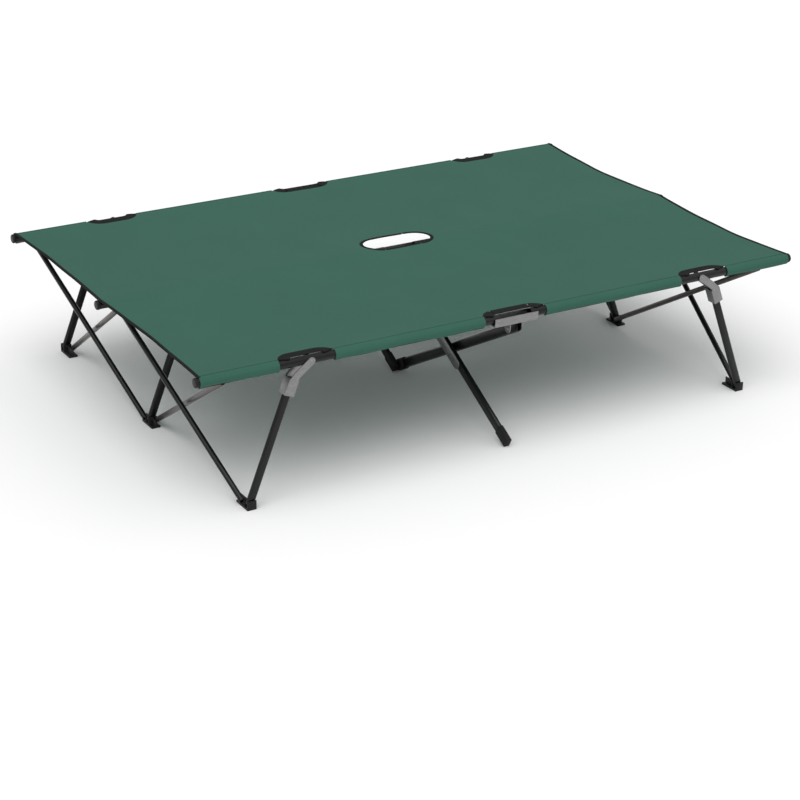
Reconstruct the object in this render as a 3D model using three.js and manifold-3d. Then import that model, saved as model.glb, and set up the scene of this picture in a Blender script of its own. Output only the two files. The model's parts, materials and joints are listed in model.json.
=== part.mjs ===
// Folding double cot: a three-rail frame that stands on six end legs and two crossed pairs of
// centre legs, with a cloth cover over the rails. Millimetres, +X along the length, +Z up,
// origin on the floor under the middle of the cot.
import * as THREE from "three";
import { mergeVertices } from "three/addons/utils/BufferGeometryUtils.js";
import Module from "manifold-3d";

const wasm = await Module();
wasm.setup();

// ---- driving dimensions -------------------------------------------------------------------
const HALF_LENGTH = 965; // middle of the cot to the outer face of a rail cap
const RAIL_Y = 612; // spacing of neighbouring rails, open
const RAIL_Z = 390; // height of the rail centre lines
const RAIL_R = 12.5;
const RAIL_WALL = 1.5;
const CAP_RIM = 0.9; // plastic cap proud of its rail
const CAP_LENGTH = 10;
const CAP_PLUG = 25;

const FOLD_X = 58; // hinge pins of the half rails, in the centre brackets
const FOLD_OVERHANG = 7; // rail end past its hinge pin
const BRACKET_HALF = 70; // half length of a centre bracket
const BRACKET_PLATE = 2.5;
const BRACKET_TOP = 396; // upper edge of the bracket's side plates

const LEG_PIVOT_X = 635; // end leg's pivot on its rail
const FOOT_X = 811; // end leg's pin in its shoe
const FOOT_Z = 20;
const LEG_W = 24; // end leg section, flat oval
const LEG_T = 13;
const COLLAR_DROP = 42; // leg top below the rail centre line
const COLLAR_REACH = 51; // leg top outside its pivot
const COLLAR_LENGTH = 46;
const COLLAR_WALL = 2;
const ARM_T = 2.6;
const ARM_EYE_R = 10.5;

const SHOE_LENGTH = 65; // along Y
const SHOE_W = 27;
const SHOE_H = 26;
const SHOE_BASE = 6;
const SHOE_WALL = 3;
const LUG_T = 2;
const LUG_TOP = 23;
const SIDE_PIN_Y = 32; // tube pin from the leg, in an outer shoe
const MIDDLE_PIN_Y = 23; // the same in a middle shoe

const TUBE_R = 8; // thin crossed end tubes
const TUBE_WALL = 1.2;
const TUBE_TOP_X = 885;
const TUBE_TOP_DROP = 27; // tube top below the rail centre line
const TUBE_SIDE_OFFSET = 11; // each tube from the middle of its shoe
const TUBE_TAIL = 7; // tube end past its pin

const CROSS_W = 31; // centre leg section, flat oval
const CROSS_T = 15;
const CROSS_WALL = 1.5;
const CROSS_X = 9.6; // layer of each centre leg from the middle
const CROSS_FOOT_Z = 17;
const CROSS_TAIL = 4;
const RUBBER_WALL = 2.4;
const RUBBER_LENGTH = 46;
const RUBBER_END = 5;
const LOCK_LENGTH = 150;
const LOCK_W = 34;
const LOCK_T = 2.5;

const CLOTH_T = 2;
const CLOTH_SHORT = 15; // hem inside the rail caps
const CLOTH_PROUD = 0.5; // cloth edge outside the outer rails
const SCALLOP = 13; // the end hem curves in between two rails
const NOTCH_DEPTH = 47;
const SIDE_NOTCH_X = 645;
const SIDE_NOTCH_LENGTH = 165;
const CENTRE_NOTCH_LENGTH = 190;
const HOLE_LENGTH = 226; // oval hand hole beside the middle rail
const HOLE_WIDTH = 108;
const HOLE_X = 10;
const HOLE_Y = 34;
const CLOTH_BREAK = 17; // half covers start this far outside their hinge pins

const RIVET_R = 5;
const RIVET_H = 2;
const GAP = 0.4; // between pieces that touch
const RUNNING_GAP = 0.9; // between pieces that turn past each other
const ARC_STEPS = 6;

const CAP_R = RAIL_R + CAP_RIM;
const CLOTH_HALF_LENGTH = HALF_LENGTH - CLOTH_SHORT;
const CLOTH_HALF_WIDTH = RAIL_Y + RAIL_R + CLOTH_PROUD;

// The bracket's floor clears the turning rail end, and the centre legs turn just below it.
const BRACKET_FLOOR = RAIL_Z - Math.hypot(FOLD_OVERHANG, RAIL_R) - GAP;
const BRACKET_LOW = BRACKET_FLOOR - BRACKET_PLATE;
const CROSS_TOP_Z = BRACKET_LOW - CROSS_W / 2 - RUNNING_GAP;

// ---- finishes -----------------------------------------------------------------------------
const finish = (color, roughness, metalness) =>
  new THREE.MeshStandardMaterial({ color, roughness, metalness });
const CLOTH = finish(0x47705f, 0.9, 0);
const BLACK_STEEL = finish(0x16171a, 0.3, 0.1);
const ZINC = finish(0x8d9094, 0.4, 0.9);
const BLACK_PLASTIC = finish(0x17181a, 0.55, 0);
const RUBBER = finish(0x1b1b1c, 0.85, 0);

const cot = new THREE.Group();
cot.name = "folding_cot";

function addPiece(name, geometry, material, matrix = new THREE.Matrix4()) {
  const piece = new THREE.Mesh(geometry, material);
  piece.name = name;
  piece.applyMatrix4(matrix);
  cot.add(piece);
}

// ---- solids -------------------------------------------------------------------------------
function solidOf(geometry, matrix = new THREE.Matrix4()) {
  const bare = geometry.clone().applyMatrix4(matrix);
  bare.deleteAttribute("normal");
  bare.deleteAttribute("uv");
  const merged = mergeVertices(bare, 1e-4);
  return new wasm.Manifold(
    new wasm.Mesh({
      numProp: 3,
      vertProperties: new Float32Array(merged.attributes.position.array),
      triVerts: new Uint32Array(merged.index.array),
    }),
  );
}

function geometryOf(solid) {
  const mesh = solid.getMesh();
  const geometry = new THREE.BufferGeometry();
  geometry.setAttribute("position", new THREE.BufferAttribute(new Float32Array(mesh.vertProperties), 3));
  geometry.setIndex(new THREE.BufferAttribute(new Uint32Array(mesh.triVerts), 1));
  return geometry;
}

const at = (x, y, z) => new THREE.Matrix4().makeTranslation(x, y, z);
const joinAll = (solids) => solids.reduce((whole, solid) => whole.add(solid));

function block(x0, x1, y0, y1, z0, z1) {
  const box = new THREE.BoxGeometry(x1 - x0, y1 - y0, z1 - z0);
  return solidOf(box, at((x0 + x1) / 2, (y0 + y1) / 2, (z0 + z1) / 2));
}

// A matrix that takes local X, Y and Z to the given directions, at the given place.
function frameAt(origin, xAxis, yAxis, zAxis) {
  return new THREE.Matrix4().makeBasis(xAxis, yAxis, zAxis).setPosition(origin);
}

// A flat-oval outline, long side along X.
function flatOval(Path, width, thickness) {
  const r = thickness / 2;
  const flat = width / 2 - r;
  const path = new Path();
  path.moveTo(-flat, -r);
  path.lineTo(flat, -r);
  path.absarc(flat, 0, r, -Math.PI / 2, Math.PI / 2, false);
  path.lineTo(-flat, r);
  path.absarc(-flat, 0, r, Math.PI / 2, (3 * Math.PI) / 2, false);
  return path;
}

function extrude(shape, depth, curveSegments = ARC_STEPS) {
  return new THREE.ExtrudeGeometry(shape, { depth, bevelEnabled: false, curveSegments });
}

function ovalTube(width, thickness, wall, length) {
  const shape = flatOval(THREE.Shape, width, thickness);
  shape.holes.push(flatOval(THREE.Path, width - 2 * wall, thickness - 2 * wall));
  return extrude(shape, length);
}

function roundTube(radius, wall, length) {
  const shape = new THREE.Shape().absarc(0, 0, radius, 0, 2 * Math.PI, false);
  shape.holes.push(new THREE.Path().absarc(0, 0, radius - wall, 0, 2 * Math.PI, true));
  return extrude(shape, length, 2 * ARC_STEPS);
}

// A bar of even width whose centre line runs through the given points in a plane, with round
// ends, standing on that plane.
function barOutline(points, radius) {
  const curve = new THREE.SplineCurve(points.map(([x, y]) => new THREE.Vector2(x, y)));
  const steps = points.length > 2 ? 2 * ARC_STEPS : 1;
  const left = [];
  const right = [];
  for (let i = 0; i <= steps; i++) {
    const p = curve.getPoint(i / steps);
    const t = curve.getTangent(i / steps);
    left.push(new THREE.Vector2(p.x - t.y * radius, p.y + t.x * radius));
    right.push(new THREE.Vector2(p.x + t.y * radius, p.y - t.x * radius));
  }
  const endCap = (parameter, turn) => {
    const p = curve.getPoint(parameter);
    const t = curve.getTangent(parameter);
    const start = Math.atan2(t.y, t.x) + turn;
    const cap = [];
    for (let i = 1; i < ARC_STEPS; i++) {
      const angle = start - (Math.PI * i) / ARC_STEPS;
      cap.push(new THREE.Vector2(p.x + radius * Math.cos(angle), p.y + radius * Math.sin(angle)));
    }
    return cap;
  };
  return new THREE.Shape([...left, ...endCap(1, Math.PI / 2), ...right.reverse(), ...endCap(0, -Math.PI / 2)]);
}

// A short rivet head standing out from y or x faces.
function rivetHead(x, y, z, along, side) {
  const head = new THREE.CylinderGeometry(RIVET_R * 0.7, RIVET_R, RIVET_H, 2 * ARC_STEPS);
  if (side < 0) head.rotateX(Math.PI);
  if (along === "x") head.rotateZ(-Math.PI / 2);
  head.translate(x, y, z);
  return solidOf(head);
}

// ---- rails --------------------------------------------------------------------------------
const RAILS = [
  ["front", -1],
  ["middle", 0],
  ["back", 1],
];
const ENDS = [
  ["left", -1],
  ["right", 1],
];
const tubeEnd = HALF_LENGTH - CAP_LENGTH;

function railCap() {
  const plugR = RAIL_R - RAIL_WALL - GAP;
  const profile = [
    [0, -CAP_PLUG],
    [plugR - 1, -CAP_PLUG],
    [plugR, -CAP_PLUG + 2],
    [plugR, GAP],
    [CAP_R, GAP],
    [CAP_R, CAP_LENGTH - 2],
    [CAP_R - 2, CAP_LENGTH],
    [0, CAP_LENGTH],
  ];
  const points = profile.map(([r, z]) => new THREE.Vector2(r, z));
  return new THREE.LatheGeometry(points, 4 * ARC_STEPS).rotateX(Math.PI / 2);
}

function addRails() {
  const inner = FOLD_X - FOLD_OVERHANG;
  for (const [rail, side] of RAILS) {
    for (const [end, sign] of ENDS) {
      const outward = new THREE.Vector3(sign, 0, 0);
      const across = new THREE.Vector3(0, sign, 0);
      const up = new THREE.Vector3(0, 0, 1);
      const place = (x) => frameAt(new THREE.Vector3(sign * x, side * RAIL_Y, RAIL_Z), across, up, outward);
      addPiece(`${rail}_rail_${end}`, roundTube(RAIL_R, RAIL_WALL, tubeEnd - inner), BLACK_STEEL, place(inner));
      addPiece(`${rail}_rail_cap_${end}`, railCap(), BLACK_PLASTIC, place(tubeEnd));
    }
  }
}

// ---- centre brackets ----------------------------------------------------------------------
function addCentreBrackets() {
  const cheekIn = CROSS_X + CROSS_T / 2 + RUNNING_GAP;
  const cheekOut = cheekIn + BRACKET_PLATE;
  const channelIn = RAIL_R + RUNNING_GAP;
  const channelOut = channelIn + BRACKET_PLATE;
  const cheekR = CROSS_W / 2;
  for (const [rail, side] of RAILS) {
    const solids = [block(-BRACKET_HALF, BRACKET_HALF, -channelOut, channelOut, BRACKET_LOW, BRACKET_FLOOR)];
    for (const s of [-1, 1]) {
      const wall = [Math.min(s * channelIn, s * channelOut), Math.max(s * channelIn, s * channelOut)];
      solids.push(block(-BRACKET_HALF, BRACKET_HALF, ...wall, BRACKET_LOW, BRACKET_TOP));
      for (const pin of [-1, 1]) {
        const face = s * (channelOut + RIVET_H / 2 - GAP / 4);
        solids.push(rivetHead(pin * FOLD_X, face, RAIL_Z - 2, "y", s));
      }
      const cheek = extrude(barOutline([[0, BRACKET_LOW + 1], [0, CROSS_TOP_Z]], cheekR - 2), BRACKET_PLATE);
      const lift = new THREE.Matrix4().makeBasis(
        new THREE.Vector3(0, 1, 0), new THREE.Vector3(0, 0, 1), new THREE.Vector3(1, 0, 0));
      const outline = solidOf(cheek, at(s > 0 ? cheekIn : -cheekOut, 0, 0).multiply(lift));
      solids.push(outline.intersect(block(-cheekOut, cheekOut, -cheekR, cheekR, 0, BRACKET_FLOOR - 1)));
      solids.push(rivetHead(s * (cheekOut + RIVET_H / 2 - GAP / 4), 0, CROSS_TOP_Z, "x", s));
    }
    addPiece(`${rail}_rail_bracket`, geometryOf(joinAll(solids)), ZINC, at(0, side * RAIL_Y, 0));
  }
}

// ---- centre legs --------------------------------------------------------------------------
// Each leg lies in a plane across the cot, between a bracket under one rail and the floor under
// the next one.
const CROSS_LEGS = [
  { name: "centre_leg_front_to_foot", topY: 0, footY: -RAIL_Y, x: -CROSS_X },
  { name: "centre_leg_front_to_rail", topY: -RAIL_Y, footY: 0, x: CROSS_X },
  { name: "centre_leg_back_to_foot", topY: 0, footY: RAIL_Y, x: CROSS_X },
  { name: "centre_leg_back_to_rail", topY: RAIL_Y, footY: 0, x: -CROSS_X },
];

function addCentreLegs() {
  const span = Math.hypot(RAIL_Y, CROSS_TOP_Z - CROSS_FOOT_Z);
  const end = CROSS_W / 2;
  for (const leg of CROSS_LEGS) {
    const down = new THREE.Vector3(0, leg.footY - leg.topY, CROSS_FOOT_Z - CROSS_TOP_Z).normalize();
    const thick = new THREE.Vector3(1, 0, 0);
    const wide = new THREE.Vector3().crossVectors(thick, down);
    const place = (s) =>
      frameAt(new THREE.Vector3(leg.x, leg.topY, CROSS_TOP_Z).addScaledVector(down, s), wide, thick, down);
    const length = end + span + CROSS_TAIL;
    const tube = solidOf(ovalTube(CROSS_W, CROSS_T, CROSS_WALL, length), at(0, 0, -end));
    const rounded = extrude(barOutline([[0, 0], [0, length + end]], end), CROSS_T);
    const trim = solidOf(rounded, new THREE.Matrix4().makeBasis(
      new THREE.Vector3(1, 0, 0), new THREE.Vector3(0, 0, 1), new THREE.Vector3(0, -1, 0),
    ).setPosition(0, CROSS_T / 2, 0));
    addPiece(leg.name, geometryOf(tube.intersect(trim)), BLACK_STEEL, place(0));

    const foot = leg.name.replace("centre_leg", "centre_foot_cap");
    const width = CROSS_W + 2 * GAP + 2 * RUBBER_WALL;
    const thickness = CROSS_T + 2 * GAP + 2 * RUBBER_WALL - 2 * RUNNING_GAP;
    const outer = solidOf(
      extrude(flatOval(THREE.Shape, width, thickness), RUBBER_LENGTH + RUBBER_END), at(0, 0, -RUBBER_LENGTH));
    const pocket = solidOf(
      extrude(flatOval(THREE.Shape, CROSS_W + 2 * GAP, CROSS_T + 2 * GAP), RUBBER_LENGTH + 1),
      at(0, 0, -RUBBER_LENGTH - 1));
    const sleeve = outer.subtract(pocket);
    const matrix = place(span + CROSS_TAIL + GAP);
    const world = solidOf(geometryOf(sleeve), matrix);
    const floorCut = block(-CROSS_T * 2 + leg.x, CROSS_T * 2 + leg.x, leg.footY - 90, leg.footY + 90, 0, 120);
    addPiece(foot, geometryOf(world.intersect(floorCut)), RUBBER);
  }
}

// Plates on the outer face of the crossing, each on the leg that reaches an outer foot.
function addLockPlates() {
  const slope = Math.atan2(CROSS_TOP_Z - CROSS_FOOT_Z, RAIL_Y);
  for (const [rail, side] of [["front", -1], ["back", 1]]) {
    const layer = side * CROSS_X;
    const inner = layer + side * (CROSS_T / 2 + GAP);
    const half = LOCK_LENGTH / 2 - LOCK_W / 2;
    const plate = solidOf(extrude(barOutline([[-half, 0], [half, 0]], LOCK_W / 2), LOCK_T), at(0, 0, GAP));
    const heads = [-half + 8, 12].map((s) => {
      const head = new THREE.CylinderGeometry(RIVET_R * 0.7, RIVET_R, RIVET_H, 2 * ARC_STEPS);
      head.rotateX(Math.PI / 2).translate(s, 0, GAP + LOCK_T + RIVET_H / 2 - GAP / 4);
      return solidOf(head);
    });
    const along = new THREE.Vector3(0, side * Math.cos(slope), -Math.sin(slope));
    const out = new THREE.Vector3(side, 0, 0);
    const wide = new THREE.Vector3().crossVectors(out, along);
    const middle = new THREE.Vector3(inner, (side * RAIL_Y) / 2, (CROSS_TOP_Z + CROSS_FOOT_Z) / 2);
    addPiece(`centre_lock_plate_${rail}`, geometryOf(joinAll([plate, ...heads])), ZINC,
      frameAt(middle, along, wide, out));
  }
}

// ---- end legs, their brackets and shoes ---------------------------------------------------
// Everything at one end is made for the right and turned half round for the left.
const legTop = new THREE.Vector3(LEG_PIVOT_X + COLLAR_REACH, 0, RAIL_Z - COLLAR_DROP);
const legPin = new THREE.Vector3(FOOT_X, 0, FOOT_Z);
const legLength = legTop.distanceTo(legPin);
const legDown = legPin.clone().sub(legTop).normalize();
const legWide = new THREE.Vector3(-legDown.z, 0, legDown.x);
const legFrame = frameAt(legTop, legWide, new THREE.Vector3().crossVectors(legDown, legWide), legDown);
const turned = new THREE.Matrix4().makeRotationZ(Math.PI);

function endLeg() {
  const end = LEG_W / 2;
  const length = legLength + end;
  const tube = solidOf(ovalTube(LEG_W, LEG_T, RAIL_WALL, length));
  const rounded = extrude(barOutline([[0, -end], [0, legLength]], end), LEG_T);
  const trim = solidOf(rounded, new THREE.Matrix4().makeBasis(
    new THREE.Vector3(1, 0, 0), new THREE.Vector3(0, 0, 1), new THREE.Vector3(0, -1, 0),
  ).setPosition(0, LEG_T / 2, 0));
  return geometryOf(solidOf(geometryOf(tube.intersect(trim)), legFrame));
}

function legBracket() {
  const armIn = RAIL_R + RUNNING_GAP;
  const armOut = armIn + ARM_T;
  const halfW = LEG_W / 2 + GAP + COLLAR_WALL;
  const collarShape = new THREE.Shape([
    new THREE.Vector2(-halfW, -armOut), new THREE.Vector2(halfW, -armOut),
    new THREE.Vector2(halfW, armOut), new THREE.Vector2(-halfW, armOut)]);
  collarShape.holes.push(flatOval(THREE.Path, LEG_W + 2 * GAP, LEG_T + 2 * GAP));
  const collar = solidOf(extrude(collarShape, COLLAR_LENGTH), legFrame);
  const solids = [collar];
  const collarEnd = legTop.clone().addScaledVector(legDown, COLLAR_LENGTH - ARM_EYE_R);
  const shoulder = legTop.clone().addScaledVector(legDown, -2);
  const path = [[collarEnd.x, collarEnd.z], [shoulder.x, shoulder.z], [LEG_PIVOT_X, RAIL_Z]];
  const upright = new THREE.Matrix4().makeBasis(
    new THREE.Vector3(1, 0, 0), new THREE.Vector3(0, 0, 1), new THREE.Vector3(0, -1, 0));
  for (const s of [-1, 1]) {
    const arm = extrude(barOutline(path, ARM_EYE_R), ARM_T);
    solids.push(solidOf(arm, at(0, s > 0 ? armOut : -armIn, 0).multiply(upright)));
    solids.push(rivetHead(LEG_PIVOT_X, s * (armOut + RIVET_H / 2 - GAP / 4), RAIL_Z, "y", s));
  }
  return geometryOf(joinAll(solids));
}

// side is -1 front, 0 middle, 1 back. The tube lugs point to the neighbouring shoes.
function shoe(side) {
  const pocket = LEG_T / 2 + RUNNING_GAP;
  const wall = pocket + SHOE_WALL;
  const low = side > 0 ? -(SHOE_LENGTH - wall) : side < 0 ? -wall : -SHOE_LENGTH / 2;
  const high = low + SHOE_LENGTH;
  const x0 = FOOT_X - SHOE_W / 2;
  const x1 = FOOT_X + SHOE_W / 2;
  const solids = [block(x0, x1, low, high, 0, SHOE_BASE)];
  solids.push(block(x0, x1, -wall, -pocket, 0, SHOE_H), block(x0, x1, pocket, wall, 0, SHOE_H));
  const lugX = LUG_T / 2;
  if (high > wall) solids.push(block(FOOT_X - lugX, FOOT_X + lugX, wall - 1, high, 0, LUG_TOP));
  if (low < -wall) solids.push(block(FOOT_X - lugX, FOOT_X + lugX, low, -wall + 1, 0, LUG_TOP));
  for (const s of [-1, 1]) {
    solids.push(rivetHead(FOOT_X, s * (wall + RIVET_H / 2 - GAP / 4), FOOT_Z, "y", s));
  }
  return geometryOf(joinAll(solids));
}

function addEndLegs() {
  for (const [rail, side] of RAILS) {
    for (const [end, sign] of ENDS) {
      const place = at(0, side * RAIL_Y, 0).multiply(sign > 0 ? new THREE.Matrix4() : turned);
      addPiece(`end_leg_${rail}_${end}`, endLeg(), BLACK_STEEL, place);
      addPiece(`end_leg_bracket_${rail}_${end}`, legBracket(), ZINC, place);
      addPiece(`foot_shoe_${rail}_${end}`, shoe(side * sign), BLACK_PLASTIC, place);
    }
  }
}

// ---- thin crossed end tubes ---------------------------------------------------------------
// "out" tubes lie outside their shoes and lean to the back, "in" tubes lie inside and lean to
// the front. Each ends beside the rail next to the one its shoe stands under.
function addEndTubes() {
  const topGap = RAIL_R + TUBE_R + 3;
  const runs = [
    { name: "front_out", footY: -RAIL_Y + SIDE_PIN_Y, topY: -topGap, layer: 1 },
    { name: "front_in", footY: -MIDDLE_PIN_Y, topY: -RAIL_Y + topGap, layer: -1 },
    { name: "back_out", footY: MIDDLE_PIN_Y, topY: RAIL_Y - topGap, layer: 1 },
    { name: "back_in", footY: RAIL_Y - SIDE_PIN_Y, topY: topGap, layer: -1 },
  ];
  for (const run of runs) {
    for (const [end, sign] of ENDS) {
      const lean = new THREE.Vector3(sign * (TUBE_TOP_X - FOOT_X), 0, RAIL_Z - TUBE_TOP_DROP - FOOT_Z);
      const outward = new THREE.Vector3(lean.z, 0, -lean.x).normalize().multiplyScalar(sign);
      const foot = new THREE.Vector3(sign * FOOT_X, run.footY, FOOT_Z);
      foot.addScaledVector(outward, run.layer * TUBE_SIDE_OFFSET);
      const top = new THREE.Vector3(sign * TUBE_TOP_X, run.topY, RAIL_Z - TUBE_TOP_DROP);
      top.addScaledVector(outward, run.layer * TUBE_SIDE_OFFSET);
      const up = top.clone().sub(foot).normalize();
      const wide = new THREE.Vector3().crossVectors(outward, up);
      const start = foot.clone().addScaledVector(up, -TUBE_TAIL);
      const length = top.distanceTo(start);
      addPiece(`end_tube_${run.name}_${end}`, roundTube(TUBE_R, TUBE_WALL, length), BLACK_STEEL,
        frameAt(start, wide, outward.clone().normalize(), up));
    }
  }
}

// ---- cloth cover --------------------------------------------------------------------------
function addCover() {
  const base = RAIL_Z + RAIL_R + GAP;
  const plan = new THREE.Shape();
  plan.moveTo(-CLOTH_HALF_LENGTH, -CLOTH_HALF_WIDTH);
  plan.lineTo(CLOTH_HALF_LENGTH, -CLOTH_HALF_WIDTH);
  const inward = CLOTH_HALF_LENGTH - 2 * SCALLOP;
  plan.quadraticCurveTo(inward, -RAIL_Y / 2, CLOTH_HALF_LENGTH, 0);
  plan.quadraticCurveTo(inward, RAIL_Y / 2, CLOTH_HALF_LENGTH, CLOTH_HALF_WIDTH);
  plan.lineTo(-CLOTH_HALF_LENGTH, CLOTH_HALF_WIDTH);
  plan.quadraticCurveTo(-inward, RAIL_Y / 2, -CLOTH_HALF_LENGTH, 0);
  plan.quadraticCurveTo(-inward, -RAIL_Y / 2, -CLOTH_HALF_LENGTH, -CLOTH_HALF_WIDTH);
  const sheet = solidOf(extrude(plan, CLOTH_T), at(0, 0, base));

  const cutters = [];
  const notch = (x, side, length) => {
    const outline = flatOval(THREE.Shape, length, 2 * NOTCH_DEPTH);
    cutters.push(solidOf(extrude(outline, 3 * CLOTH_T), at(x, side * CLOTH_HALF_WIDTH, base - CLOTH_T)));
  };
  for (const side of [-1, 1]) {
    notch(-SIDE_NOTCH_X, side, SIDE_NOTCH_LENGTH);
    notch(0, side, CENTRE_NOTCH_LENGTH);
    notch(SIDE_NOTCH_X, side, SIDE_NOTCH_LENGTH);
  }
  const hole = flatOval(THREE.Shape, HOLE_LENGTH, HOLE_WIDTH);
  cutters.push(solidOf(extrude(hole, 3 * CLOTH_T), at(HOLE_X, HOLE_Y, base - CLOTH_T)));
  const cover = cutters.reduce((rest, cutter) => rest.subtract(cutter), sheet);

  const wide = CLOTH_HALF_WIDTH + 1;
  const long = CLOTH_HALF_LENGTH + 1;
  const start = FOLD_X + CLOTH_BREAK;
  const top = base + 2 * CLOTH_T;
  const middle = FOLD_X - RAIL_R - RUNNING_GAP; // clear of the half rails when they stand up
  addPiece("cover_left", geometryOf(cover.intersect(block(-long, -start, -wide, wide, 0, top))), CLOTH);
  addPiece("cover_centre_front", geometryOf(cover.intersect(block(-middle, middle, -wide, 0, 0, top))), CLOTH);
  addPiece("cover_centre_back", geometryOf(cover.intersect(block(-middle, middle, HOLE_Y, wide, 0, top))), CLOTH);
  addPiece("cover_right", geometryOf(cover.intersect(block(start, long, -wide, wide, 0, top))), CLOTH);
}

addRails();
addCentreBrackets();
addCentreLegs();
addLockPlates();
addEndLegs();
addEndTubes();
addCover();

export default cot;
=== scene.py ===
"""Folding double cot: the cloth cover, its bindings and sleeves, and the finished hardware."""
import json
import math

import bmesh
import bpy
from mathutils import Matrix, Vector


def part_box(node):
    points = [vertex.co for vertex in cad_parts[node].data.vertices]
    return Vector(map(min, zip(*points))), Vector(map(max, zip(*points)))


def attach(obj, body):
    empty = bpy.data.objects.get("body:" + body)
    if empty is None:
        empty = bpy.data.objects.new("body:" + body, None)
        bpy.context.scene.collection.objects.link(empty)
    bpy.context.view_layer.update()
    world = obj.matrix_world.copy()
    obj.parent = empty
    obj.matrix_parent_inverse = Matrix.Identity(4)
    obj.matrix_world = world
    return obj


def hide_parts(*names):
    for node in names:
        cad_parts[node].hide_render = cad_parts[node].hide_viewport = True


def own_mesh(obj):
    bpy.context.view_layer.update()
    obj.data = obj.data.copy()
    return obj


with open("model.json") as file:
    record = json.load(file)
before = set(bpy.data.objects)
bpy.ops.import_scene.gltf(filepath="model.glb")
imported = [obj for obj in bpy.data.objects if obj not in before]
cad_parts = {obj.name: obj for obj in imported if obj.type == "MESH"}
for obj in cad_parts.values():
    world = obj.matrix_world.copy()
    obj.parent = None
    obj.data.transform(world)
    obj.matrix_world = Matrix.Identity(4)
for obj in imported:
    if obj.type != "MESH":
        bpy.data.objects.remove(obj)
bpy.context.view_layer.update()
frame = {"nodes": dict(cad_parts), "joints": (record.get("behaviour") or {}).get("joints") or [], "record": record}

# ---- camera ----------------------------------------------------------------------------------
CAMERA_PLACE = Vector((-3.1487, -5.2182, 2.5926))
CAMERA_AZIMUTH = math.radians(-31.209)
CAMERA_ELEVATION = math.radians(23.818)
CAMERA_ROLL = math.radians(0.968)
LENS_MM = 98.9


def add_camera():
    data = bpy.data.cameras.new("camera")
    data.lens = LENS_MM
    data.sensor_width = 36
    data.clip_end = 600
    a, e = CAMERA_AZIMUTH, CAMERA_ELEVATION
    back = Vector((math.sin(a) * math.cos(e), -math.cos(a) * math.cos(e), math.sin(e)))
    right = Vector((0, 0, 1)).cross(back).normalized()
    up = back.cross(right)
    c, s = math.cos(CAMERA_ROLL), math.sin(CAMERA_ROLL)
    x_axis = c * right + s * up
    y_axis = c * up - s * right
    turn = Matrix((x_axis, y_axis, back)).transposed().to_4x4()
    camera = bpy.data.objects.new("camera", data)
    camera.matrix_world = Matrix.Translation(CAMERA_PLACE) @ turn
    bpy.context.scene.collection.objects.link(camera)
    bpy.context.scene.camera = camera


add_camera()


# ---- places read from the frame --------------------------------------------------------------
def middle_of(node):
    low, high = (Vector(corner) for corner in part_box(node))
    return (low + high) / 2


RAIL_Y = middle_of("back_rail_right").y
RAIL_Z = middle_of("back_rail_right").z
RAIL_R = (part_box("back_rail_right")[1][2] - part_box("back_rail_right")[0][2]) / 2
COVER_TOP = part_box("cover_left")[1][2]
HALF_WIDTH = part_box("cover_left")[1][1]
TIP_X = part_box("back_rail_right")[1][0]
PINS = {joint["name"]: Vector(joint["pos_m"]) for joint in frame["joints"] if "pos_m" in joint}
FOLD_X = PINS["right_half_fold"].x
NOTCH_SHIFT = 0.010  # the notch lies a little outside the leg pivot
NOTCH_X = PINS["end_leg_middle_right_pivot"].x + NOTCH_SHIFT

# ---- cloth sizes -----------------------------------------------------------------------------
CLOTH = 0.0012
HEM_X = TIP_X - 0.002
SCALLOP = 0.013
SAG = 0.009
HEM_TAUT_LENGTH = 0.10  # the cloth sags less over this length at each end
HEM_TAUT_SHARE = 0.35
RIPPLE = 0.0012
PANEL_EDGE_Y = RAIL_Y - 0.004
BINDING_EDGE_Y = RAIL_Y + 0.004
NOTCH_LENGTH = 0.165
NOTCH_DEPTH = 0.047
CENTRE_NOTCH_LENGTH = 0.200
HOLE_LENGTH = 0.226
HOLE_WIDTH = 0.108
HOLE_X = 0.010
HOLE_Y = 0.030
TAPE_WIDTH = 0.011
TAPE_FLATNESS = 0.32
NOTCH_TAPE_WIDTH = 0.034
NOTCH_TAPE_INSET = 0.014
NOTCH_TAPE_FLATNESS = 0.08


def bay(y):
    """0 over a rail and 1 halfway between two rails."""
    t = min(abs(y) / RAIL_Y, 1.0)
    return 4 * t * (1 - t)


def cloth_z(x, y):
    slack = SAG * bay(y)
    near_hem = max(0.0, (abs(x) - (HEM_X - HEM_TAUT_LENGTH)) / HEM_TAUT_LENGTH)
    ripple = RIPPLE * math.sin(37 * x + 3 * math.sin(9 * y)) * bay(y)
    return COVER_TOP - CLOTH / 2 - slack * (1 - HEM_TAUT_SHARE * near_hem) + ripple


def hem_x(y):
    return HEM_X - SCALLOP * bay(y)


# ---- shader helpers --------------------------------------------------------------------------
class Value:
    """A socket in Python arithmetic."""

    def __init__(self, paint, socket):
        self.paint = paint
        self.socket = socket

    def maths(self, operation, other=None, swap=False):
        inputs = [self, other] if other is not None else [self]
        if swap:
            inputs.reverse()
        return self.paint.node("ShaderNodeMath", {"operation": operation}, inputs)

    def __add__(self, other):
        return self.maths("ADD", other)

    __radd__ = __add__

    def __sub__(self, other):
        return self.maths("SUBTRACT", other)

    def __rsub__(self, other):
        return self.maths("SUBTRACT", other, True)

    def __mul__(self, other):
        return self.maths("MULTIPLY", other)

    __rmul__ = __mul__

    def sine(self):
        return self.maths("SINE")


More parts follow.
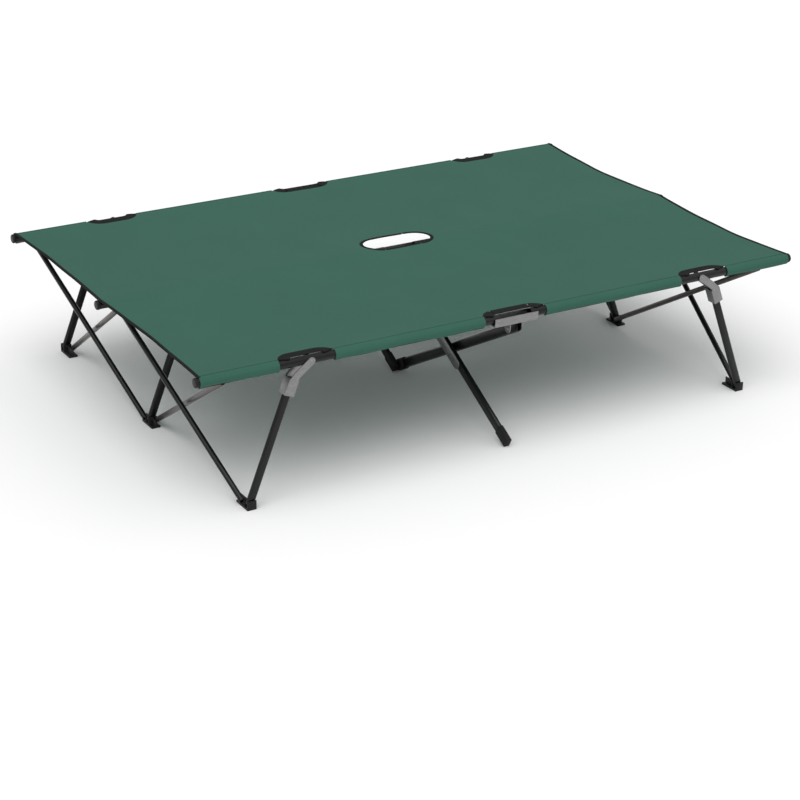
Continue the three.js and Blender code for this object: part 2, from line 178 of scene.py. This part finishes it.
class Paint:
    """A material that is built by adding nodes."""

    def __init__(self, name, color, roughness, metallic=0.0, coat=0.0):
        self.material = bpy.data.materials.new(name)
        self.material.use_nodes = True
        self.tree = self.material.node_tree
        self.shader = self.tree.nodes["Principled BSDF"]
        self.shader.inputs["Base Color"].default_value = (*color, 1)
        self.shader.inputs["Roughness"].default_value = roughness
        self.shader.inputs["Metallic"].default_value = metallic
        self.shader.inputs["Coat Weight"].default_value = coat

    def node(self, kind, settings=None, inputs=(), output=0):
        made = self.tree.nodes.new(kind)
        for key, value in (settings or {}).items():
            setattr(made, key, value)
        pairs = inputs.items() if isinstance(inputs, dict) else enumerate(inputs)
        for key, value in pairs:
            if isinstance(value, Value):
                self.tree.links.new(value.socket, made.inputs[key])
            else:
                made.inputs[key].default_value = value
        return Value(self, made.outputs[output])

    def place(self):
        return self.node("ShaderNodeTexCoord", output="Object")

    def axes(self):
        place = self.place()
        return [self.node("ShaderNodeSeparateXYZ", inputs=[place], output=i) for i in range(3)]

    def noise(self, scale, detail=3.0):
        inputs = {"Vector": self.place(), "Scale": scale, "Detail": detail}
        return self.node("ShaderNodeTexNoise", inputs=inputs)

    def stretched_noise(self, stretch, scale, detail=3.0):
        place = self.node("ShaderNodeMapping", inputs={"Vector": self.place(), "Scale": stretch})
        inputs = {"Vector": place, "Scale": scale, "Detail": detail}
        return self.node("ShaderNodeTexNoise", inputs=inputs)

    def mix(self, factor, first, second):
        inputs = {0: factor, 6: (*first, 1), 7: (*second, 1)}
        return self.node("ShaderNodeMix", {"data_type": "RGBA"}, inputs, 2)

    def feed(self, name, value):
        self.tree.links.new(value.socket, self.shader.inputs[name])

    def bump(self, height, strength, distance):
        inputs = {"Strength": strength, "Distance": distance, "Height": height}
        self.feed("Normal", self.node("ShaderNodeBump", inputs=inputs))


THREAD = 0.0011  # two threads of the weave
TAPE_RIB = 0.0016


def weave_height(paint):
    x, y, z = paint.axes()
    turn = 2 * math.pi / THREAD
    warp = (x * turn).sine()
    weft = ((y + z) * turn).sine()
    return warp * weft * 0.5 + 0.5


def cover_cloth(name, dark, light):
    paint = Paint(name, light, 0.82)
    paint.shader.inputs["Sheen Weight"].default_value = 0.03
    paint.shader.inputs["Specular IOR Level"].default_value = 0.16
    paint.shader.inputs["Sheen Roughness"].default_value = 0.45
    weave = weave_height(paint)
    mottle = paint.noise(5.5, 4) * 0.55 + paint.noise(60.0, 2) * 0.25
    slub = paint.stretched_noise((4.0, 220.0, 220.0), 1.0, 2) * 0.3
    paint.feed("Base Color", paint.mix(weave * 0.22 + mottle + slub - 0.1, dark, light))
    paint.feed("Roughness", 0.76 + mottle * 0.16)
    creases = paint.stretched_noise((2.2, 7.0, 7.0), 1.0, 2)
    paint.bump(weave * 0.28 + slub * 0.4 + creases * 3.0, 0.5, 0.0006)
    return paint.material


def binding_tape():
    paint = Paint("binding_tape", (0.008, 0.009, 0.009), 0.8)
    paint.shader.inputs["Specular IOR Level"].default_value = 0.12
    x, y, z = paint.axes()
    ribs = ((x + y + z) * (2 * math.pi / TAPE_RIB)).sine() * 0.5 + 0.5
    shade = ribs * 0.5 + paint.noise(40.0) * 0.5
    paint.feed("Base Color", paint.mix(shade, (0.005, 0.005, 0.006), (0.013, 0.014, 0.014)))
    paint.feed("Roughness", 0.62 + ribs * 0.2)
    paint.bump(ribs, 0.5, 0.0004)
    return paint.material


def powder_coat():
    paint = Paint("black_powder_coat", (0.006, 0.006, 0.007), 0.3, 0.0, 0.12)
    paint.shader.inputs["Coat Roughness"].default_value = 0.1
    paint.shader.inputs["Specular IOR Level"].default_value = 0.22
    scuff = paint.stretched_noise((26.0, 26.0, 26.0), 1.0, 6)
    speck = paint.noise(900.0, 1)
    paint.feed("Base Color", paint.mix(scuff * 0.9, (0.003, 0.003, 0.004), (0.009, 0.009, 0.010)))
    paint.feed("Roughness", 0.20 + scuff * 0.16 + speck * 0.04)
    paint.bump(speck * 0.6 + scuff * 0.3, 0.18, 0.0003)
    return paint.material


def zinc(name, dark, light, roughness):
    paint = Paint(name, light, roughness, 0.9)
    grain = paint.stretched_noise((60.0, 60.0, 500.0), 1.0, 3)
    spangle = paint.noise(130.0, 2)
    paint.feed("Base Color", paint.mix(grain * 0.6 + spangle * 0.4, dark, light))
    paint.feed("Roughness", roughness - 0.08 + spangle * 0.2)
    paint.bump(grain * 0.7 + spangle * 0.3, 0.25, 0.0003)
    return paint.material


def moulded_plastic():
    paint = Paint("moulded_plastic", (0.008, 0.008, 0.009), 0.45)
    paint.shader.inputs["Specular IOR Level"].default_value = 0.22
    grain = paint.noise(700.0, 2)
    wear = paint.noise(34.0, 4)
    paint.feed("Base Color", paint.mix(wear * 0.8, (0.005, 0.005, 0.006), (0.014, 0.014, 0.015)))
    paint.feed("Roughness", 0.34 + wear * 0.2)
    paint.bump(grain, 0.25, 0.0003)
    return paint.material


def rubber():
    paint = Paint("foot_rubber", (0.010, 0.010, 0.010), 0.7)
    paint.shader.inputs["Specular IOR Level"].default_value = 0.2
    dust = paint.noise(48.0, 5)
    paint.feed("Base Color", paint.mix(dust * 0.9, (0.006, 0.006, 0.006), (0.020, 0.020, 0.019)))
    paint.feed("Roughness", 0.55 + dust * 0.3)
    paint.bump(paint.noise(500.0, 2), 0.3, 0.0003)
    return paint.material


GREEN = cover_cloth("green_cover_cloth", (0.027, 0.094, 0.067), (0.040, 0.124, 0.090))
TAPE = binding_tape()
STEEL = powder_coat()
ZINC = zinc("zinc_plate", (0.15, 0.145, 0.15), (0.34, 0.335, 0.34), 0.34)
# Grey base colour of the inner tubes is a painted reflection: the tubes are gloss black, and the grey stands in
# for the white surroundings they reflect.
PAINTED_REFLECTION_TUBE_GREY = zinc("painted_reflection_tube_grey", (0.07, 0.062, 0.06), (0.17, 0.155, 0.15), 0.3)
PLASTIC = moulded_plastic()
RUBBER = rubber()


# ---- mesh helpers ----------------------------------------------------------------------------
def make_object(name, mesh_maker, material, smooth_angle=40):
    mesh = bmesh.new()
    mesh_maker(mesh)
    data = bpy.data.meshes.new(name)
    mesh.to_mesh(data)
    mesh.free()
    data.materials.append(material)
    made = bpy.data.objects.new(name, data)
    bpy.context.scene.collection.objects.link(made)
    smooth(made, smooth_angle)
    return made


def smooth(piece, angle):
    data = piece.data
    data.polygons.foreach_set("use_smooth", [True] * len(data.polygons))
    data.set_sharp_from_angle(angle=math.radians(angle))


def apply_modifiers(piece):
    graph = bpy.context.evaluated_depsgraph_get()
    final = bpy.data.meshes.new_from_object(piece.evaluated_get(graph))
    piece.modifiers.clear()
    piece.data = final


def stadium(cx, cy, length, width, steps=14):
    """Points round a flat-oval outline, starting at its right side and going anticlockwise."""
    r = width / 2
    flat = (length - width) / 2
    points = []
    for side, start in ((1, -math.pi / 2), (-1, math.pi / 2)):
        for i in range(steps + 1):
            angle = start + math.pi * i / steps
            x = cx + side * flat + r * math.cos(angle)
            points.append(Vector((x, cy + r * math.sin(angle), 0)))
    return points


def notches(inset=0.0):
    places = ((-NOTCH_X, NOTCH_LENGTH), (0, CENTRE_NOTCH_LENGTH), (NOTCH_X, NOTCH_LENGTH))
    return [
        stadium(x, side * HALF_WIDTH, length - 2 * inset, 2 * (NOTCH_DEPTH - inset))
        for side in (-1, 1)
        for x, length in places
    ]


HAND_HOLE = stadium(HOLE_X, HOLE_Y, HOLE_LENGTH, HOLE_WIDTH)
CUTOUTS = [*notches(), HAND_HOLE]


def cut_out(piece):
    def cutters(mesh):
        for outline in CUTOUTS:
            ring = [mesh.verts.new((p.x, p.y, COVER_TOP - 0.03)) for p in outline]
            face = mesh.faces.new(ring)
            grown = bmesh.ops.extrude_face_region(mesh, geom=[face])
            top = [v for v in grown["geom"] if isinstance(v, bmesh.types.BMVert)]
            bmesh.ops.translate(mesh, verts=top, vec=(0, 0, 0.06))
        bmesh.ops.recalc_face_normals(mesh, faces=mesh.faces)

    cutter = make_object("cutter", cutters, GREEN)
    cut = piece.modifiers.new("cut", "BOOLEAN")
    cut.operation = "DIFFERENCE"
    cut.solver = "EXACT"
    cut.object = cutter
    bpy.context.view_layer.update()
    apply_modifiers(piece)
    bpy.data.objects.remove(cutter)


PANEL_STEP = 0.0135
HEM_STEPS = 120


def cover_panel(name, x0, x1):
    def cloth(mesh):
        columns = max(6, round((x1 - x0) / PANEL_STEP))
        rows = round(2 * RAIL_Y / PANEL_STEP)
        bmesh.ops.create_grid(mesh, x_segments=columns, y_segments=rows, size=0.5)
        for v in mesh.verts:
            y = v.co.y * 2 * PANEL_EDGE_Y
            left = -hem_x(y) if x0 < -FOLD_X - 0.01 else x0
            right = hem_x(y) if x1 > FOLD_X + 0.01 else x1
            x = left + (v.co.x + 0.5) * (right - left)
            v.co = (x, y, cloth_z(x, y) - CLOTH / 2)
        whole = bmesh.ops.extrude_face_region(mesh, geom=mesh.faces[:])
        top = [v for v in whole["geom"] if isinstance(v, bmesh.types.BMVert)]
        bmesh.ops.translate(mesh, verts=top, vec=(0, 0, CLOTH))
        bmesh.ops.recalc_face_normals(mesh, faces=mesh.faces)

    panel = make_object(name, cloth, GREEN)
    cut_out(panel)
    smooth(panel, 50)
    return panel


def runs_between(points, x0, x1, keep_point):
    """The stretches of a line of points that lie between x0 and x1 and pass a test."""
    runs, run = [], []
    for p in points:
        if x0 <= p.x <= x1 and keep_point(p):
            run.append(p)
        else:
            if len(run) > 1:
                runs.append(run)
            run = []
    if len(run) > 1:
        runs.append(run)
    return runs


def finely(points, step=0.006):
    """The same line with points no further apart than a step."""
    fine = []
    for a, b in zip(points, points[1:]):
        count = max(1, math.ceil((b - a).length / step))
        fine += [a.lerp(b, i / count) for i in range(count)]
    return fine + [points[-1]]


def sweep(mesh, line, radius, sides=10):
    """A round rod along a line of points."""
    rings = []
    for i, p in enumerate(line):
        ahead = line[min(i + 1, len(line) - 1)] - line[max(i - 1, 0)]
        turn = ahead.to_track_quat("Z", "Y").to_matrix().to_4x4()
        place = Matrix.Translation(p) @ turn
        ring = bmesh.ops.create_circle(mesh, segments=sides, radius=radius, matrix=place)
        rings.append(ring["verts"])
    for a, b in zip(rings, rings[1:]):
        edges = {e for v in (*a, *b) for e in v.link_edges if e.is_boundary or not e.link_faces}
        flat = [e for e in edges if all(v in a for v in e.verts) or all(v in b for v in e.verts)]
        bmesh.ops.bridge_loops(mesh, edges=flat)
    for ring in (rings[0], rings[-1]):
        bmesh.ops.contextual_create(mesh, geom=ring)
    bmesh.ops.recalc_face_normals(mesh, faces=mesh.faces)


def on_cloth(points):
    return [Vector((p.x, p.y, cloth_z(p.x, p.y))) for p in points]


def cover_binding(name, x0, x1):
    def along(outline):
        closed = finely(outline + outline[:1])
        return runs_between(closed, x0, x1, lambda p: abs(p.y) < BINDING_EDGE_Y)

    wide_lines = [line for outline in notches(NOTCH_TAPE_INSET) for line in along(outline)]
    lines = along(HAND_HOLE)
    for end in (-1, 1):
        if x0 <= end * HEM_X - end * SCALLOP <= x1:
            edge = BINDING_EDGE_Y
            ys = [-edge + 2 * edge * i / HEM_STEPS for i in range(HEM_STEPS + 1)]
            lines.append([Vector((end * hem_x(y), y, 0)) for y in ys])

    def tape(mesh):
        for group, width, flatness in (
            (lines, TAPE_WIDTH, TAPE_FLATNESS),
            (wide_lines, NOTCH_TAPE_WIDTH, NOTCH_TAPE_FLATNESS),
        ):
            before = set(mesh.verts)
            for line in group:
                sweep(mesh, on_cloth(line), width / 2)
            for v in set(mesh.verts) - before:
                level = cloth_z(v.co.x, max(-RAIL_Y, min(RAIL_Y, v.co.y)))
                v.co.z = level + (v.co.z - level) * flatness

    return make_object(name, tape, TAPE, 60)


# ---- cover -----------------------------------------------------------------------------------
PANELS = [
    ("cover_left", "middle_rail_left", -HEM_X, -FOLD_X, ["cover_left"]),
    ("cover_middle", "root", -FOLD_X, FOLD_X, ["cover_centre_front", "cover_centre_back"]),
    ("cover_right", "middle_rail_right", FOLD_X, HEM_X, ["cover_right"]),
]


def sleeve_segments(end):
    notch_in = NOTCH_X - NOTCH_LENGTH / 2
    notch_out = NOTCH_X + NOTCH_LENGTH / 2
    centre = CENTRE_NOTCH_LENGTH / 2
    return [tuple(sorted((end * a, end * b))) for a, b in ((centre, notch_in), (notch_out, HEM_X))]


SLEEVE_R = RAIL_R + CLOTH
SLEEVE_ARC = (math.radians(96), math.radians(-92))
SLEEVE_STEPS = 18
PIPING_ANGLE = math.radians(-76)
PIPING_R = 0.0022
PIPING_PROUD = 0.0008


def rail_sleeve(name, side, segments):
    def wrap(mesh):
        for x0, x1 in segments:
            first, last = SLEEVE_ARC
            ring = []
            for i in range(SLEEVE_STEPS + 1):
                angle = first + (last - first) * i / SLEEVE_STEPS
                offset = Vector((0, side * math.cos(angle), math.sin(angle))) * SLEEVE_R
                ring.append(mesh.verts.new(Vector((x0, side * RAIL_Y, RAIL_Z)) + offset))
            edges = [mesh.edges.new(pair) for pair in zip(ring, ring[1:])]
            steps = max(2, round((x1 - x0) / 0.02))
            for _ in range(steps):
                grown = bmesh.ops.extrude_edge_only(mesh, edges=edges)["geom"]
                verts = [v for v in grown if isinstance(v, bmesh.types.BMVert)]
                edges = [e for e in grown if isinstance(e, bmesh.types.BMEdge)]
                bmesh.ops.translate(mesh, verts=verts, vec=((x1 - x0) / steps, 0, 0))
        for v in mesh.verts:
            low = max(0.0, (RAIL_Z - v.co.z) / SLEEVE_R)
            v.co.z -= low * 0.0016 * (1 + math.sin(23 * v.co.x))
            v.co.y += side * 0.0008 * math.sin(31 * v.co.x + 2) * low
        bmesh.ops.recalc_face_normals(mesh, faces=mesh.faces)
        bmesh.ops.solidify(mesh, geom=mesh.faces[:], thickness=-CLOTH)
        bmesh.ops.recalc_face_normals(mesh, faces=mesh.faces)

    return make_object(name, wrap, GREEN, 50)


def sleeve_piping(name, side, segments):
    reach = SLEEVE_R + PIPING_PROUD
    y = side * (RAIL_Y + math.cos(PIPING_ANGLE) * reach)
    z = RAIL_Z + math.sin(PIPING_ANGLE) * reach

    def piping(mesh):
        for x0, x1 in segments:
            line = [Vector((x0, y, z)), Vector((x1, y, z))]
            sweep(mesh, finely(line, 0.03), PIPING_R)

    return make_object(name, piping, TAPE, 60)


def add_cover():
    for name, body, x0, x1, nodes in PANELS:
        panel = cover_panel(f"{name}_cloth", x0, x1)
        binding = cover_binding(f"{name}_binding", x0, x1)
        for piece in (panel, binding):
            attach(piece, body)
            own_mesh(piece)
        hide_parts(*nodes)
    for rail, side in (("front", -1), ("back", 1)):
        for end, sign in (("left", -1), ("right", 1)):
            segments = sleeve_segments(sign)
            sleeve = rail_sleeve(f"sleeve_{rail}_{end}", side, segments)
            piping = sleeve_piping(f"sleeve_piping_{rail}_{end}", side, segments)
            for piece in (sleeve, piping):
                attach(piece, f"{rail}_rail_{end}")


add_cover()


# ---- hardware --------------------------------------------------------------------------------
def body_of_node(node):
    bodies = frame["record"]["behaviour"]["bodies"]
    return next(body for body, nodes in bodies.items() if node in nodes)


def finished(node, material, bevel):
    """A copy of a CAD node with merged points, softened edges and its own finish."""
    data = frame["nodes"][node].data.copy()
    mesh = bmesh.new()
    mesh.from_mesh(data)
    bmesh.ops.remove_doubles(mesh, verts=mesh.verts, dist=2e-6)
    bmesh.ops.dissolve_limit(mesh, angle_limit=math.radians(1), verts=mesh.verts, edges=mesh.edges)
    mesh.to_mesh(data)
    mesh.free()
    data.materials.clear()
    data.materials.append(material)
    piece = bpy.data.objects.new(f"{node}_finished", data)
    bpy.context.scene.collection.objects.link(piece)
    soften = piece.modifiers.new("soften", "BEVEL")
    soften.width = bevel
    soften.segments = 2
    soften.limit_method = "ANGLE"
    soften.angle_limit = math.radians(35)
    soften.use_clamp_overlap = True
    bpy.context.view_layer.update()
    apply_modifiers(piece)
    smooth(piece, 38)
    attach(piece, body_of_node(node))
    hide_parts(node)


def hardware_finish(node):
    if "bracket" in node or "lock_plate" in node:
        return ZINC, 0.0007
    if "foot_cap" in node:
        return RUBBER, 0.0022
    if "shoe" in node:
        return PLASTIC, 0.0012
    if "rail_cap" in node:
        return PLASTIC, 0.0008
    # Inner tubes take the grey that is a painted reflection of the white surroundings on gloss black.
    if "_in_" in node:
        return PAINTED_REFLECTION_TUBE_GREY, 0.0004
    return STEEL, 0.0004


for node in list(frame["nodes"]):
    if not node.startswith("cover"):
        finished(node, *hardware_finish(node))


# ---- studio ----------------------------------------------------------------------------------
def add_studio():
    bpy.context.scene.view_settings.view_transform = "Standard"
    floor_paint = Paint("pale_floor", (0.93, 0.93, 0.93), 0.9)

    def flat(mesh):
        bmesh.ops.create_grid(mesh, x_segments=1, y_segments=1, size=150)

    floor = make_object("floor", flat, floor_paint.material)
    world = bpy.data.worlds.new("studio")
    world.use_nodes = True
    world.node_tree.nodes["Background"].inputs[0].default_value = (1, 1, 1, 1)
    world.node_tree.nodes["Background"].inputs[1].default_value = 0.55
    bpy.context.scene.world = world
    for name, place, strength, softness in (
        ("key", (-2.2, -1.6, 5.0), 1.75, 60),
        ("fill", (3.2, -2.0, 3.6), 0.45, 70),
    ):
        data = bpy.data.lights.new(name, "SUN")
        data.energy = strength
        data.angle = math.radians(softness)
        light = bpy.data.objects.new(name, data)
        aim = -Vector(place)
        light.matrix_world = aim.to_track_quat("-Z", "Y").to_matrix().to_4x4()
        bpy.context.scene.collection.objects.link(light)


add_studio()
